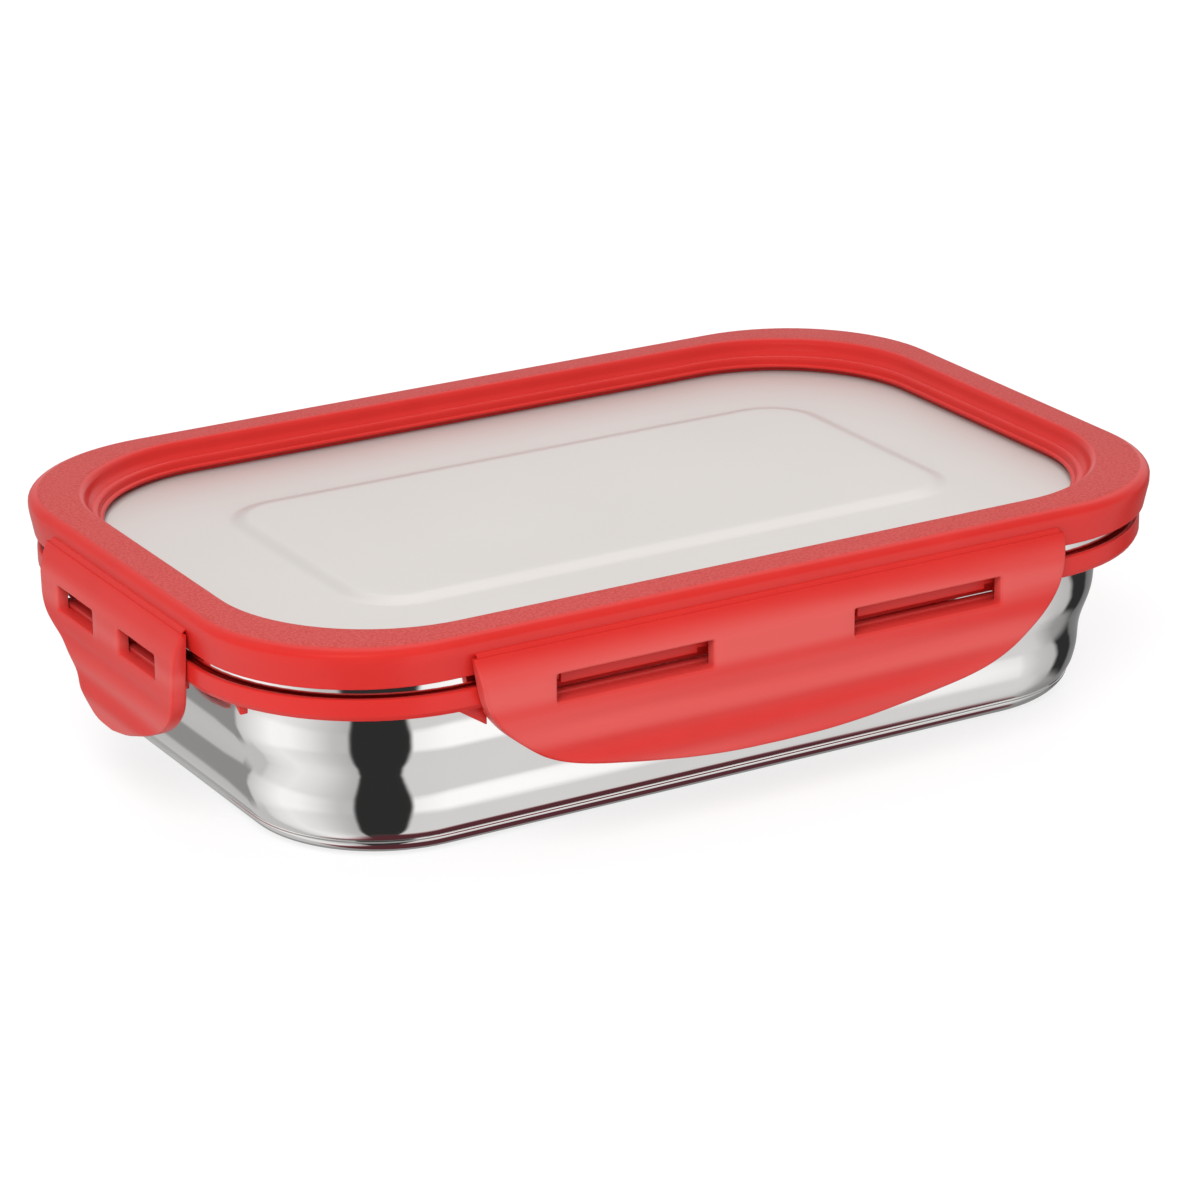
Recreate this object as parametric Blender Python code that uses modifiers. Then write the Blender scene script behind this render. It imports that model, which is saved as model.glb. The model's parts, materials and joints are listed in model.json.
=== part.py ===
"""A slim steel lunch box with a clip-on lid: part.py builds it as separate solids.

The box stands on z = 0, centred on the z axis, with its long side along x.
Run it with: blender --background --python part.py

A pressed steel tub has a rim that turns out and down over a moulded collar. The lid is a
moulded frame around a pressed steel plate, which a ring holds from below, and a silicone
seal in the frame's channel closes on the tub's rim. Each side of the lid carries one
latch: a panel with two slots, on a thin web that bends. A lip inside the panel snaps
under two ribs of the collar.

Sections of the tub, collar, frame, seal and rings are lists of (inset, z). The inset runs
inwards from the lid's outline, a rectangle with rounded corners, all in millimetres.
"""

import math

import bmesh
import bpy
from mathutils import Matrix, Vector

MM = 0.001
GAP = 0.3  # air between neighbouring pieces

# Driving dimensions, in millimetres.
LID_HALF_LENGTH = 95.0
LID_HALF_WIDTH = 62.7
LID_CORNER_RADIUS = 35.0
LID_TOP = 43.0
SHEET = 0.6  # thickness of the pressed steel tub
PLATE_SHEET = 0.5
TUB_RIM_TOP = 37.2
TUB_NECK_INSET = 6.9
TUB_FLOOR_INSET = 16.3
TUB_FLOOR_RADIUS = 4.5  # round between the floor and the wall
TUB_CORNER_WIDENING = 0.33  # extra corner radius for each millimetre inside the neck
PLATE_TOP = 37.4
PLATE_INSET = 9.2
PANEL_HALF_LENGTH = 60.0  # the raised field of the steel plate
PANEL_HALF_WIDTH = 28.5
PANEL_CORNER_RADIUS = 9.0
PANEL_RISE = 0.9
COLLAR_TOP = 34.7
COLLAR_BOTTOM = 30.4
COLLAR_FACE_INSET = 0.5

# The latches. Widths run along the side that the latch is on.
LATCH_THICKNESS = 2.1
LATCH_INNER_FACE = 0.4  # distance outside the lid's outline
LATCH_TOP = 39.15
LATCH_BOTTOM = 13.4
LATCH_EDGE_ROUND = 0.6
HINGE_OUT = 0.1
HINGE_Z = 39.6
SLOT_BOTTOM = 29.9
SLOT_TOP = 34.8
RIB_BOTTOM = 30.9
RIB_TOP = 34.4
LIP_TOP = 30.1
LIP_HEIGHT = 1.3
LIP_REACH = 1.1
LONG_LATCH = {"half_width": 60.0, "slot_centre": 29.2, "slot_length": 31.5, "rib_length": 27.5}
SHORT_LATCH = {"half_width": 28.0, "slot_centre": 12.6, "slot_length": 16.4, "rib_length": 9.6}

# Stiffening lugs under the collar, past both ends of each latch: how far along the side,
# how far inside the lid's outline, their turn there and their length.
LONG_LUG = {"along": 59.6, "inset": 2.2, "turn": 0, "length": 5.0}
SHORT_LUG = {"along": 38.0, "inset": 4.1, "turn": 18, "length": 6.0}
LUG_DROP = 1.4
LUG_THICKNESS = 1.4

# Each side's latch, the turn about z that faces it, and the lid's half size on that side.
SIDES = {
    "front": (LONG_LATCH, 0, LID_HALF_WIDTH),
    "right": (SHORT_LATCH, 90, LID_HALF_LENGTH),
    "back": (LONG_LATCH, 180, LID_HALF_WIDTH),
    "left": (SHORT_LATCH, 270, LID_HALF_LENGTH),
}

CORNER_STEPS = 9
ARC_STEPS = 4


def make_material(name, colour, roughness, metallic=0.0):
    """A plain Principled material."""
    material = bpy.data.materials.new(name)
    material.use_nodes = True
    shader = material.node_tree.nodes["Principled BSDF"]
    shader.inputs["Base Color"].default_value = (*colour, 1.0)
    shader.inputs["Roughness"].default_value = roughness
    shader.inputs["Metallic"].default_value = metallic
    material.diffuse_color = (*colour, 1.0)
    return material


def place(obj, collection, material, parent=None):
    """Links an object, gives it its material and hangs it from its parent."""
    collection.objects.link(obj)
    obj.data.materials.append(material)
    obj.parent = parent
    return obj


def arc(centre, radius, start, end, steps=ARC_STEPS):
    """Points of an arc in degrees, both ends included."""
    points = []
    for step in range(steps + 1):
        angle = math.radians(start + (end - start) * step / steps)
        points.append(
            (centre[0] + radius * math.cos(angle), centre[1] + radius * math.sin(angle))
        )
    return points


def rounded_rectangle(half_x, half_y, radius):
    """Points of a rectangle with round corners, anticlockwise from the +x side."""
    points = []
    for quarter, (sign_x, sign_y) in enumerate(((1, 1), (-1, 1), (-1, -1), (1, -1))):
        centre = (sign_x * (half_x - radius), sign_y * (half_y - radius))
        points += arc(centre, radius, 90 * quarter, 90 * quarter + 90, CORNER_STEPS)
    return points


def outline_at(inset):
    """The lid's outline moved inwards by inset, as half_x, half_y and corner radius."""
    return LID_HALF_LENGTH - inset, LID_HALF_WIDTH - inset, LID_CORNER_RADIUS - inset


def shade(mesh):
    """Smooth shading that keeps edges sharper than 35 degrees."""
    mesh.shade_smooth()
    mesh.set_sharp_from_angle(angle=math.radians(35))


def loft(name, sections, floor):
    """An open sheet lofted through rounded rectangles, each (half_x, half_y, radius, z).

    A flat face fills the section whose index is floor: 0, where it looks down, or -1.
    """
    sheet = bmesh.new()
    loops = []
    for half_x, half_y, radius, z in sections:
        outline = rounded_rectangle(half_x, half_y, radius)
        loops.append([sheet.verts.new(Vector((x, y, z)) * MM) for x, y in outline])
    for lower, upper in zip(loops, loops[1:]):
        for i in range(len(lower)):
            sheet.faces.new((lower[i - 1], lower[i], upper[i], upper[i - 1]))
    sheet.faces.new(loops[-1] if floor else reversed(loops[0]))
    mesh = bpy.data.meshes.new(name)
    sheet.to_mesh(mesh)
    sheet.free()
    shade(mesh)
    return bpy.data.objects.new(name, mesh)


def closed_curve(name, outlines):
    """A flat curve object of closed polygons."""
    curve = bpy.data.curves.new(name, "CURVE")
    curve.dimensions = "2D"
    for outline in outlines:
        spline = curve.splines.new("POLY")
        spline.points.add(len(outline) - 1)
        for point, (x, y) in zip(spline.points, outline):
            point.co = (x * MM, y * MM, 0, 1)
        spline.use_cyclic_u = True
    return bpy.data.objects.new(name, curve)


def ring(name, profile):
    """A ring swept along the lid's outline, with a closed profile of (inset, z) points."""
    path = closed_curve(f"{name}_path", [rounded_rectangle(*outline_at(0))])
    section = closed_curve(f"{name}_section", [profile])
    path.data.fill_mode = "NONE"
    path.data.bevel_mode = "OBJECT"
    path.data.bevel_object = section
    bpy.context.scene.collection.objects.link(section)
    bpy.context.scene.collection.objects.link(path)
    graph = bpy.context.evaluated_depsgraph_get()
    mesh = bpy.data.meshes.new_from_object(path.evaluated_get(graph))
    mesh.name = name
    bpy.data.objects.remove(path)
    bpy.data.objects.remove(section)
    sweep = bmesh.new()
    sweep.from_mesh(mesh)
    bmesh.ops.remove_doubles(sweep, verts=sweep.verts, dist=0.00001)
    bmesh.ops.recalc_face_normals(sweep, faces=sweep.faces)
    sweep.to_mesh(mesh)
    sweep.free()
    shade(mesh)
    return bpy.data.objects.new(name, mesh)


def box(name, low, high):
    """A box between two corners in millimetres, with its origin at the origin."""
    cube = bmesh.new()
    bmesh.ops.create_cube(cube, size=1.0)
    size = Vector(high) - Vector(low)
    middle = (Vector(high) + Vector(low)) / 2
    bmesh.ops.scale(cube, vec=size * MM, verts=cube.verts)
    bmesh.ops.translate(cube, vec=middle * MM, verts=cube.verts)
    mesh = bpy.data.meshes.new(name)
    cube.to_mesh(mesh)
    cube.free()
    return bpy.data.objects.new(name, mesh)


def tub_profile():
    """The tub's outer surface from the floor up to the rim's edge, as (inset, z)."""
    turned_edge = TUB_NECK_INSET - 3.7
    under_rim = TUB_RIM_TOP - SHEET
    floor_centre = (TUB_FLOOR_INSET, TUB_FLOOR_RADIUS)
    heel = arc(floor_centre, TUB_FLOOR_RADIUS, 270, 180, 6)
    wall = [(11.0, 9.0), (10.4, 13.0), (9.95, 17.0)]
    shoulder = [(9.5, 19.8), (8.6, 22.4), (7.7, 24.6), (7.1, 27.0), (TUB_NECK_INSET, 30.0)]
    neck = arc((TUB_NECK_INSET - 0.7, under_rim - 0.7), 0.7, 0, 90, 3)
    rim = arc((turned_edge + 0.5, under_rim - 0.5), 0.5, 90, 180, 3)
    return heel + wall + shoulder + neck + rim + [(turned_edge, 34.3)]


def add_thickness(obj, thickness):
    """Solidifies an open surface towards its back, away from its normals."""
    solidify = obj.modifiers.new("sheet", "SOLIDIFY")
    solidify.thickness = thickness * MM
    solidify.offset = -1.0
    solidify.use_even_offset = True


def make_container(collection, steel):
    """The pressed steel tub."""
    sections = []
    for inset, z in tub_profile():
        half_x, half_y, radius = outline_at(inset)
        widening = TUB_CORNER_WIDENING * max(inset - TUB_NECK_INSET, 0)
        sections.append((half_x, half_y, radius + widening, z))
    tub = loft("container", sections, floor=0)
    add_thickness(tub, SHEET)
    return place(tub, collection, steel)


def add_catches(collar, side, cutters):
    """Joins one side's two catch ribs and two lugs to the collar."""
    latch, turn, half = SIDES[side]
    lug = LONG_LUG if latch is LONG_LATCH else SHORT_LUG
    facing = math.radians(turn)
    tip = half + LATCH_INNER_FACE - GAP
    for sign, which in ((-1, "a"), (1, "b")):
        middle = sign * latch["slot_centre"]
        reach = latch["rib_length"] / 2
        rib = box(
            f"rib_{side}_{which}",
            (middle - reach, -tip, RIB_BOTTOM),
            (middle + reach, -(half - COLLAR_FACE_INSET - 0.8), RIB_TOP),
        )
        rib.rotation_euler.z = facing
        join(collar, rib, cutters)

        reach = lug["length"] / 2
        depth = LUG_THICKNESS / 2
        bracket = box(
            f"lug_{side}_{which}",
            (-reach, -depth, COLLAR_BOTTOM - LUG_DROP),
            (reach, depth, COLLAR_BOTTOM + 1.0),
        )
        spot = Vector((sign * lug["along"], -(half - lug["inset"]), 0)) * MM
        bracket.location = Matrix.Rotation(facing, 3, "Z") @ spot
        bracket.rotation_euler.z = facing + sign * math.radians(lug["turn"])
        join(collar, bracket, cutters)


def make_collar(collection, cutters, plastic):
    """The moulded collar under the tub's rim, with two catch ribs on each side."""
    face = COLLAR_FACE_INSET
    inner = TUB_NECK_INSET - GAP
    collar = ring(
        "rim_collar",
        [
            (face + 0.4, COLLAR_BOTTOM),
            (face, COLLAR_BOTTOM + 0.6),
            (face, COLLAR_TOP - 0.3),
            (face + 0.3, COLLAR_TOP),
            (2.3, COLLAR_TOP),
            (2.3, 33.9),
            (3.6, 33.9),
            (3.6, 36.2),
            (inner, 36.2),
            (inner, 31.8),
            (2.9, 31.8),
            (2.9, COLLAR_BOTTOM),
        ],
    )
    for side in SIDES:
        add_catches(collar, side, cutters)
    return place(collar, collection, plastic)


def join(obj, helper, cutters):
    """Adds a helper solid to obj with a Boolean union."""
    helper.hide_render = True
    helper.display_type = "WIRE"
    cutters.objects.link(helper)
    union = obj.modifiers.new(helper.name, "BOOLEAN")
    union.operation = "UNION"
    union.object = helper


def make_lid_frame(collection, plastic, lid):
    """The moulded frame: skirt, flat band, stepped inner wall and the seal's channel."""
    channel_roof = 39.3
    pocket_bottom = 35.2
    frame = ring(
        "lid_frame",
        [
            (1.0, 36.3),
            (0.0, 41.7),
            (0.35, 42.6),
            (1.2, LID_TOP),
            (7.4, LID_TOP),
            (8.7, 42.4),
            (9.3, 41.2),
            (9.7, 40.0),
            (10.6, 39.6),
            (11.0, 38.1),
            (11.2, PLATE_TOP + GAP),
            (PLATE_INSET - GAP, PLATE_TOP + GAP),
            (PLATE_INSET - GAP, pocket_bottom),
            (7.9, pocket_bottom),
            (7.9, channel_roof),
            (2.2, channel_roof),
            (2.2, 36.3),
        ],
    )
    return place(frame, collection, plastic, lid)


def make_lid_plate(collection, steel, lid):
    """The pressed steel plate with its raised field."""
    panel_edge = 1.6  # width of the slope round the raised field
    edge = outline_at(PLATE_INSET)
    slope = (
        PANEL_HALF_LENGTH + panel_edge,
        PANEL_HALF_WIDTH + panel_edge,
        PANEL_CORNER_RADIUS + panel_edge,
    )
    panel = (PANEL_HALF_LENGTH, PANEL_HALF_WIDTH, PANEL_CORNER_RADIUS)
    sections = [
        (*edge, PLATE_TOP),
        (*slope, PLATE_TOP),
        (*panel, PLATE_TOP + PANEL_RISE),
    ]
    plate = loft("lid_plate", sections, floor=-1)
    add_thickness(plate, PLATE_SHEET)
    return place(plate, collection, steel, lid)


def make_plate_retainer(collection, plastic, lid):
    """The ring that holds the plate from below, inside the frame's pocket."""
    top = PLATE_TOP - PLATE_SHEET - GAP
    bottom = 35.2
    profile = [
        (PLATE_INSET, bottom),
        (PLATE_INSET, top),
        (12.8, top),
        (13.2, top - 0.4),
        (12.8, bottom),
    ]
    return place(ring("plate_retainer", profile), collection, plastic, lid)


def make_seal(collection, silicone, lid):
    """The silicone seal in the frame's channel, with a groove over the tub's rim."""
    low = TUB_RIM_TOP + GAP
    profile = [
        (2.5, low),
        (2.5, 39.0),
        (7.6, 39.0),
        (7.6, low),
        (6.2, low),
        (5.8, low + 0.5),
        (4.4, low + 0.5),
        (3.8, low),
    ]
    return place(ring("lid_seal", profile), collection, silicone, lid)


def long_latch_outline(half_width, top, bottom):
    """A wide panel: straight ends, round lower corners and a shallow curved lower edge."""
    corner_z = bottom + 5.4
    sag_half = half_width - 14.0
    sag = 5.0
    sag_radius = (sag_half**2 + sag**2) / (2 * sag)
    sweep = math.degrees(math.asin(sag_half / sag_radius))
    lower = arc((0, bottom + sag_radius), sag_radius, 270 - sweep, 270 + sweep, 14)
    corner = [(half_width - 7.6, corner_z + 4.0), (half_width - 3.4, corner_z + 8.6)]
    end = [(half_width - 1.5, corner_z + 12.6), (half_width - 0.4, top)]
    right = corner + end
    left = [(-x, z) for x, z in reversed(right)]
    return left + lower + right


def short_latch_outline(half_width, top, bottom):
    """A narrow panel: straight ends, then shoulders that run in to a round tongue."""
    tongue_radius = 13.0
    tongue = arc((0, bottom + tongue_radius), tongue_radius, 228, 312, 10)
    flank = [(half_width - 9.6, bottom + 8.6), (half_width - 5.4, bottom + 11.6)]
    shoulder = [(half_width - 1.8, bottom + 14.0), (half_width - 0.3, bottom + 17.0)]
    right = flank + shoulder + [(half_width - 0.2, top)]
    left = [(-x, z) for x, z in reversed(right)]
    return left + tongue + right


def make_panel(side, latch):
    """One latch panel as a flat outline with two slots and rounded edges.

    It stands upright behind its hinge, which is at its origin.
    """
    edge = LATCH_EDGE_ROUND
    draw = long_latch_outline if latch is LONG_LATCH else short_latch_outline
    outline = draw(latch["half_width"] - edge, LATCH_TOP - edge, LATCH_BOTTOM + edge)
    outlines = [[(x, z - HINGE_Z) for x, z in outline]]
    for sign in (-1, 1):
        middle = sign * latch["slot_centre"]
        reach = latch["slot_length"] / 2 + edge
        low = SLOT_BOTTOM - edge - HINGE_Z
        high = SLOT_TOP + edge - HINGE_Z
        corners = [
            (middle - reach, low),
            (middle - reach, high),
            (middle + reach, high),
            (middle + reach, low),
        ]
        outlines.append(corners)
    panel = closed_curve(f"latch_{side}", outlines)
    panel.data.fill_mode = "BOTH"
    panel.data.extrude = (LATCH_THICKNESS / 2 - edge) * MM
    panel.data.bevel_depth = edge * MM
    panel.data.bevel_resolution = 1
    panel.rotation_euler.x = math.radians(90)
    panel.location.y = -(LATCH_INNER_FACE - HINGE_OUT + LATCH_THICKNESS / 2) * MM
    return panel


def make_latch(side, collection, plastic, lid):
    """A latch's panel, the web it bends on and its snap lip, on an empty at the hinge."""
    latch, turn, half = SIDES[side]
    facing = math.radians(turn)
    hinge = bpy.data.objects.new(f"hinge_{side}", None)
    out = half + HINGE_OUT
    hinge.location = Vector((math.sin(facing) * out, -math.cos(facing) * out, HINGE_Z)) * MM
    hinge.rotation_euler.z = facing
    hinge.parent = lid
    collection.objects.link(hinge)

    place(make_panel(side, latch), collection, plastic, hinge)

    web_reach = latch["half_width"] - 2.0
    web = box(f"hinge_web_{side}", (-web_reach, -0.4, -0.12), (web_reach, 0.1, 0.12))
    place(web, collection, plastic, hinge)

    inner_face = -(LATCH_INNER_FACE - HINGE_OUT)
    lip_reach = latch["slot_centre"] + latch["rib_length"] / 2
    lip_top = LIP_TOP - HINGE_Z
    lip = box(
        f"snap_lip_{side}",
        (-lip_reach, inner_face + GAP, lip_top - LIP_HEIGHT),
        (lip_reach, inner_face + LIP_REACH, lip_top),
    )
    place(lip, collection, plastic, hinge)


def build():
    """Clears the scene and models the lunch box."""
    for obj in list(bpy.data.objects):
        bpy.data.objects.remove(obj, do_unlink=True)
    collection = bpy.data.collections.new("lunch_box")
    cutters = bpy.data.collections.new("helpers")
    bpy.context.scene.collection.children.link(collection)
    bpy.context.scene.collection.children.link(cutters)

    steel = make_material("polished_steel", (0.72, 0.71, 0.70), 0.12, 1.0)
    satin_steel = make_material("satin_steel", (0.74, 0.72, 0.70), 0.35, 1.0)
    plastic = make_material("red_plastic", (0.72, 0.035, 0.03), 0.35)
    silicone = make_material("silicone", (0.85, 0.85, 0.83), 0.6)

    make_container(collection, steel)
    make_collar(collection, cutters, plastic)

    lid = bpy.data.objects.new("lid", None)
    collection.objects.link(lid)
    make_lid_frame(collection, plastic, lid)
    make_lid_plate(collection, satin_steel, lid)
    make_plate_retainer(collection, plastic, lid)
    make_seal(collection, silicone, lid)
    for side in SIDES:
        make_latch(side, collection, plastic, lid)


build()
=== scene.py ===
"""The looks of a slim steel lunch box with a clip-on lid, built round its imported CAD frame.

Lengths are in millimetres until a mesh is made. An inset runs inwards from the lid's
outline, a rectangle with round corners.
"""

import json
import math

import bmesh
import bpy
from mathutils import Matrix, Vector


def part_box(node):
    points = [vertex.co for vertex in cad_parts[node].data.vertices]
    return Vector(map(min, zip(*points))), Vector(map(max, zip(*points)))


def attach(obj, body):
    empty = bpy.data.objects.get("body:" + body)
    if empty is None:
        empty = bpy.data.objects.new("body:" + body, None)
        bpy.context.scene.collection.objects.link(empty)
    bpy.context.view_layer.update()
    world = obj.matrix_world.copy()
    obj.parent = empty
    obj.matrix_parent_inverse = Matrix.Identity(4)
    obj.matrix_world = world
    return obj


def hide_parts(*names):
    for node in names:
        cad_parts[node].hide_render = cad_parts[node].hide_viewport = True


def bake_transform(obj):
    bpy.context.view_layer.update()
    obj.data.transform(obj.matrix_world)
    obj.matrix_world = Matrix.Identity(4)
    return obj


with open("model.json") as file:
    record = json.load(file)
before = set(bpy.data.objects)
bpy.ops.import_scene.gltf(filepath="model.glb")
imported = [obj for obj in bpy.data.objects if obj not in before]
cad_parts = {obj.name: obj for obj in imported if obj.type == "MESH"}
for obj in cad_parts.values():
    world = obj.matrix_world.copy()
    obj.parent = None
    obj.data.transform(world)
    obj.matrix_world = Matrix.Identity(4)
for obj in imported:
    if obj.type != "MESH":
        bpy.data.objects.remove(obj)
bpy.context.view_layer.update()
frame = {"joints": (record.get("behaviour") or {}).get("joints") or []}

MM = 0.001


def box_mm(node):
    """Lowest and highest corner of a CAD node in millimetres."""
    low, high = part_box(node)
    return low / MM, high / MM


FRAME_LOW, FRAME_HIGH = box_mm("lid_frame")
_, TUB_HIGH = box_mm("container")
PLATE_LOW, PLATE_HIGH = box_mm("lid_plate")
SEAL_LOW, SEAL_HIGH = box_mm("lid_seal")
RETAINER_LOW, RETAINER_HIGH = box_mm("plate_retainer")

HALF_LENGTH = FRAME_HIGH.x
HALF_WIDTH = FRAME_HIGH.y
LID_TOP = FRAME_HIGH.z
CORNER_RADIUS = 35.0  # of the collar and the tub, at the lid's outline
LID_RADIUS = 31.0
LID_RADIUS_LOSS = 0.18  # for each millimetre of inset
SHEET = 0.6  # thickness of the tub's steel
PLATE_SHEET = 0.5
PANEL = (60.0, 28.5, 9.0)  # half length, half width and corner radius of the plate's raised field

SKIRT_BOTTOM = LID_TOP - 7.2
COLLAR_TOP = LID_TOP - 9.2
COLLAR_BOTTOM = LID_TOP - 12.6
COLLAR_DROP = 0.6  # how far the collar's outer band hangs below that
NECK_INSET = 6.9
TUB_CORNER_WIDENING = 0.33  # extra corner radius for each millimetre inside the neck

# How finely an outline is divided: in a round corner, a long side and a short side.
CORNER_STEPS = 20
LONG_STEPS = 12
SHORT_STEPS = 7

SIDES = {"front": 0, "right": 90, "back": 180, "left": 270}
JOINTS = {joint["child"]: joint for joint in frame["joints"]}


# ---------------------------------------------------------------- node helpers


class Nodes:
    """Adds nodes to a node tree and links them."""

    def __init__(self, tree):
        self.tree = tree

    def add(self, kind, **settings):
        node = self.tree.nodes.new(kind)
        for key, value in settings.items():
            setattr(node, key, value)
        return node

    def feed(self, socket, value):
        if isinstance(value, bpy.types.NodeSocket):
            self.tree.links.new(value, socket)
        else:
            socket.default_value = value

    def split(self, vector):
        """The X, Y and Z outputs of a vector."""
        node = self.add("ShaderNodeSeparateXYZ")
        self.feed(node.inputs[0], vector)
        return node.outputs

    def math(self, operation, *values):
        node = self.add("ShaderNodeMath", operation=operation)
        for socket, value in zip(node.inputs, values):
            self.feed(socket, value)
        return node.outputs[0]

    def ramp(self, value, low, high):
        """A smooth step from 0 at low to 1 at high."""
        node = self.add("ShaderNodeMapRange", interpolation_type="SMOOTHSTEP")
        self.feed(node.inputs["Value"], value)
        node.inputs["From Min"].default_value = low
        node.inputs["From Max"].default_value = high
        return node.outputs[0]

    def blend(self, factor, first, second):
        """A number between two others, each a socket or a plain value."""
        change = self.math("SUBTRACT", second, first)
        return self.math("MULTIPLY_ADD", factor, change, first)

    def mix(self, factor, first, second):
        """A colour between two colours."""
        node = self.add("ShaderNodeMix", data_type="RGBA")
        colours = [socket for socket in node.inputs if socket.type == "RGBA"]
        self.feed(node.inputs[0], factor)
        self.feed(colours[0], first)
        self.feed(colours[1], second)
        return [socket for socket in node.outputs if socket.type == "RGBA"][0]


class Shader(Nodes):
    """Builds one material's node tree."""

    def __init__(self, name):
        self.material = bpy.data.materials.new(name)
        self.material.use_nodes = True
        super().__init__(self.material.node_tree)
        self.base = self.tree.nodes["Principled BSDF"]
        self.coords = self.add("ShaderNodeTexCoord").outputs["Object"]

    def set(self, **inputs):
        for key, value in inputs.items():
            self.feed(self.base.inputs[key.replace("_", " ")], value)

    def noise(self, scale, detail=2.0, roughness=0.5, stretch=None):
        node = self.add("ShaderNodeTexNoise")
        coords = self.coords
        if stretch is not None:
            mapping = self.add("ShaderNodeMapping")
            self.feed(mapping.inputs["Vector"], coords)
            mapping.inputs["Scale"].default_value = stretch
            coords = mapping.outputs[0]
        self.feed(node.inputs["Vector"], coords)
        node.inputs["Scale"].default_value = scale
        node.inputs["Detail"].default_value = detail
        node.inputs["Roughness"].default_value = roughness
        return node.outputs["Fac"]

    def bump(self, height, strength, distance, normal=None):
        node = self.add("ShaderNodeBump")
        self.feed(node.inputs["Height"], height)
        node.inputs["Strength"].default_value = strength
        node.inputs["Distance"].default_value = distance
        if normal is not None:
            self.feed(node.inputs["Normal"], normal)
        return node.outputs[0]


def red_plastic(name, painted_sheen):
    """Moulded red, matt and grained on the lid's top band; the second argument sets how strong
    the pale bands of painted sheen low on the latches are.
    """
    shader = Shader(name)
    normal = shader.split(shader.add("ShaderNodeNewGeometry").outputs["Normal"])
    place = shader.split(shader.coords)
    facing_up = shader.ramp(normal["Z"], 0.93, 0.985)
    high = shader.ramp(place["Z"], (LID_TOP - 0.2) * MM, (LID_TOP - 0.08) * MM)
    band = shader.math("MULTIPLY", facing_up, high)

    blotches = shader.noise(90.0, 3.0, 0.6)
    colour = shader.mix(blotches, (0.585, 0.018, 0.014, 1), (0.665, 0.025, 0.020, 1))
    # Horizontal pale bands of painted sheen, only below the hinge where the latches hang, scaled
    # by the second argument.
    painted_sheen_and_drawing_marks = shader.ramp(shader.noise(150.0, 1.0, 0.4, (0.05, 0.05, 1.0)), 0.36, 0.66)
    low = shader.ramp(place["Z"], (LID_TOP - 3.5) * MM, (LID_TOP - 8.5) * MM)
    painted_sheen_and_drawing_marks = shader.math("MULTIPLY", shader.math("MULTIPLY", painted_sheen_and_drawing_marks, low), painted_sheen)
    colour = shader.mix(painted_sheen_and_drawing_marks, colour, (0.67, 0.082, 0.074, 1))
    coarse = shader.ramp(shader.noise(1900.0, 2.0, 0.7), 0.34, 0.66)
    matt = shader.mix(coarse, (0.51, 0.044, 0.038, 1), (0.59, 0.080, 0.074, 1))
    grain = shader.noise(2600.0, 2.0, 0.6)
    fine = shader.noise(900.0, 3.0, 0.6)
    rough = shader.math("MULTIPLY_ADD", blotches, 0.08, 0.27)
    rough_band = shader.math("MULTIPLY_ADD", band, 0.32, rough)
    relief = shader.math("MULTIPLY", grain, shader.math("MULTIPLY_ADD", band, 0.85, 0.15))
    normal_out = shader.bump(relief, 0.35, 0.00008)
    normal_out = shader.bump(fine, 0.05, 0.0001, normal_out)
    shader.set(
        Base_Color=shader.mix(band, colour, matt),
        Roughness=rough_band,
        Normal=normal_out,
    )
    shader.base.inputs["IOR"].default_value = 1.49
    shader.base.inputs["Specular IOR Level"].default_value = 0.34
    return shader.material


def polished_steel():
    """Mirror-polished pressed sheet with a slight wander and faint drawing marks."""
    shader = Shader("polished_steel")
    smudge = shader.noise(35.0, 3.0, 0.6)
    drawn = shader.noise(160.0, 2.0, 0.5, (1.0, 1.0, 14.0))
    rough = shader.math("MULTIPLY_ADD", smudge, 0.05, 0.035)
    sway = shader.bump(shader.noise(28.0, 1.0, 0.4), 0.22, 0.0004)
    painted_sheen_and_drawing_marks = shader.bump(drawn, 0.035, 0.00006, sway)
    shader.set(
        Base_Color=shader.mix(smudge, (0.80, 0.785, 0.77, 1), (0.86, 0.85, 0.835, 1)),
        Metallic=1.0,
        Roughness=rough,
        Normal=painted_sheen_and_drawing_marks,
    )
    return shader.material


def satin_steel():
    """Fine brushed sheet of the lid's plate."""
    shader = Shader("satin_steel")
    brush = shader.noise(110.0, 4.0, 0.65, (1.0, 40.0, 1.0))
    cloud = shader.noise(18.0, 2.0, 0.5)
    rough = shader.math("MULTIPLY_ADD", brush, 0.10, 0.38)
    shader.set(
        Base_Color=shader.mix(cloud, (0.63, 0.60, 0.575, 1), (0.69, 0.66, 0.635, 1)),
        Metallic=0.5,
        Roughness=rough,
        Normal=shader.bump(brush, 0.03, 0.00005),
    )
    return shader.material


def silicone():
    """Matt white, slightly clouded, for the seal."""
    shader = Shader("silicone")
    cloud = shader.noise(120.0, 3.0, 0.6)
    shader.set(
        Base_Color=shader.mix(cloud, (0.80, 0.80, 0.78, 1), (0.88, 0.88, 0.86, 1)),
        Roughness=shader.math("MULTIPLY_ADD", cloud, 0.1, 0.5),
        Normal=shader.bump(shader.noise(1500.0), 0.1, 0.00005),
    )
    return shader.material


RED = red_plastic("red_plastic", 0.0)
# The latches' copy of the red carries the bands of painted sheen.
RED_LATCH = red_plastic("red_plastic_latch", 1.0)
POLISHED = polished_steel()
SATIN = satin_steel()
SILICONE = silicone()


# ---------------------------------------------------------------- shape helpers


def arc(centre, radius, start, end, steps=6):
    """Points of an arc, in degrees, both ends included."""
    points = []
    for step in range(steps + 1):
        angle = math.radians(start + (end - start) * step / steps)
        points.append(
            (centre[0] + radius * math.cos(angle), centre[1] + radius * math.sin(angle))
        )
    return points


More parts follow.
